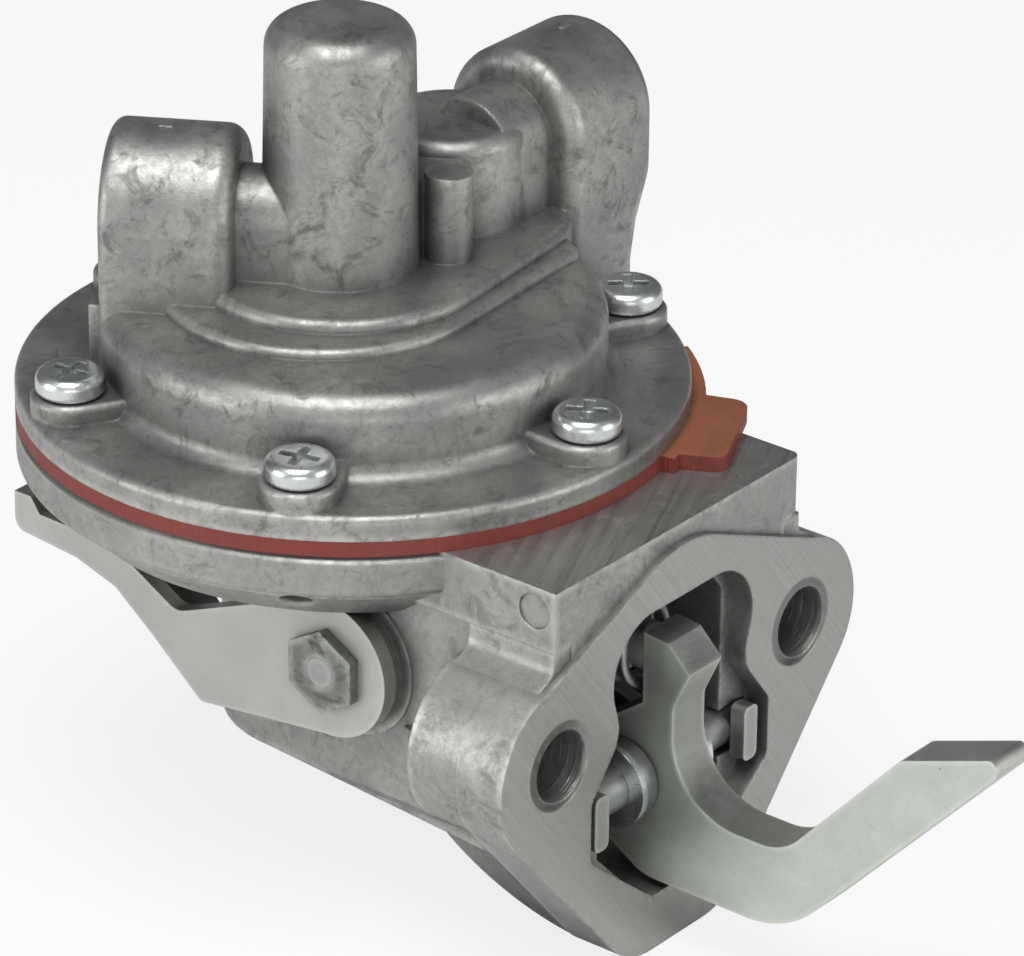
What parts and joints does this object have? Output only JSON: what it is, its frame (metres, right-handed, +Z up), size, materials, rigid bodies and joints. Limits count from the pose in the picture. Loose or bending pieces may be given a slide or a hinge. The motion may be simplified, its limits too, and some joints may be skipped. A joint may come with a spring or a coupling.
{
  "type": "mechanical fuel pump",
  "caption": "Diaphragm fuel pump with a cam-driven rocker arm, hand priming lever, threaded inlet and outlet ports and a two-bolt mounting flange.",
  "frame": {"origin": "midway between the two mounting holes, on the machined mounting face", "axes": "+Z up along the diaphragm axis, +Y into the pump away from the engine, the mounting face looks to -Y, +X along the line of the two mounting holes towards the inlet port"},
  "size_m": [0.0824, 0.1323, 0.0994],
  "materials": {
    "cast_cover": "as cast, stained",
    "cast_body": "as cast",
    "zinc_screw": "bright zinc",
    "zinc_lever": "matte zinc",
    "plain_steel": "machined",
    "dull_steel": "dull zinc",
    "spring_steel": "drawn wire",
    "diaphragm_fabric": "rubberised fabric",
    "seal_rubber": "matte",
    "valve_plastic": "matte",
    "gasket_fibre": "oiled fibre"
  },
  "bodies": {
    "housing": {"lower_body": "cast_body", "upper_body": "cast_cover", "cover_screws": "zinc_screw", "diaphragm": "diaphragm_fabric", "oil_seal": "seal_rubber", "seal_retainer": "plain_steel", "diaphragm_spring": "spring_steel", "rocker_pin": "plain_steel", "rocker_washers": "plain_steel", "pin_retainers": "plain_steel", "rocker_spring": "spring_steel", "primer_spring": "spring_steel", "outlet_valve_seat": "plain_steel", "outlet_valve_spring": "spring_steel", "outlet_valve_cap": "plain_steel", "inlet_valve_seat": "plain_steel", "inlet_valve_spring": "spring_steel", "inlet_valve_cap": "plain_steel", "valve_gaskets": "gasket_fibre"},
    "rocker": {"rocker_arm": "zinc_lever"},
    "link": {"link_lever": "plain_steel"},
    "pull_rod": {"pull_rod": "plain_steel", "diaphragm_upper_plate": "plain_steel", "diaphragm_lower_plate": "plain_steel"},
    "primer": {"priming_lever": "zinc_lever", "primer_shaft": "plain_steel", "shaft_collars": "dull_steel"},
    "outlet_disc": {"outlet_valve_disc": "valve_plastic"},
    "inlet_disc": {"inlet_valve_disc": "valve_plastic"}
  },
  "joints": [
    {"name": "rocker_swing", "type": "hinge", "parent": "housing", "child": "rocker", "pos_m": [0, 0.0055, -0.0112], "axis": [-1, 0, 0], "range_deg": [0, 6.5], "stiffness_Nm_per_rad": 0.6, "springref_deg": -20.05, "deforming": ["rocker_spring"]},
    {"name": "link_swing", "type": "hinge", "parent": "housing", "child": "link", "pos_m": [0, 0.0055, -0.0112], "axis": [-1, 0, 0], "range_deg": [0, 6.51]},
    {"name": "rod_slide", "type": "slide", "parent": "housing", "child": "pull_rod", "axis": [0, 0, -1], "range_m": [0, 0.00495], "deforming": ["diaphragm_spring", "diaphragm"]},
    {"name": "primer_swing", "type": "hinge", "parent": "housing", "child": "primer", "pos_m": [0, 0.031, 0.0029], "axis": [-1, 0, 0], "range_deg": [0, 30], "stiffness_Nm_per_rad": 0.15, "springref_deg": -28.65, "deforming": ["primer_spring"]},
    {"name": "outlet_valve_lift", "type": "slide", "parent": "housing", "child": "outlet_disc", "axis": [0, 0, 1], "range_m": [0, 0.001], "stiffness_N_per_m": 30, "springref_m": -0.0005, "deforming": ["outlet_valve_spring"]},
    {"name": "inlet_valve_lift", "type": "slide", "parent": "housing", "child": "inlet_disc", "axis": [0, 0, -1], "range_m": [0, 0.001], "stiffness_N_per_m": 30, "springref_m": -0.0005, "deforming": ["inlet_valve_spring"]}
  ],
  "couplings": [
    {"joint": "link_swing", "follows": "rocker_swing", "ratio": 1},
    {"joint": "rod_slide", "follows": "rocker_swing", "m_per_rad": 0.0435}
  ]
}
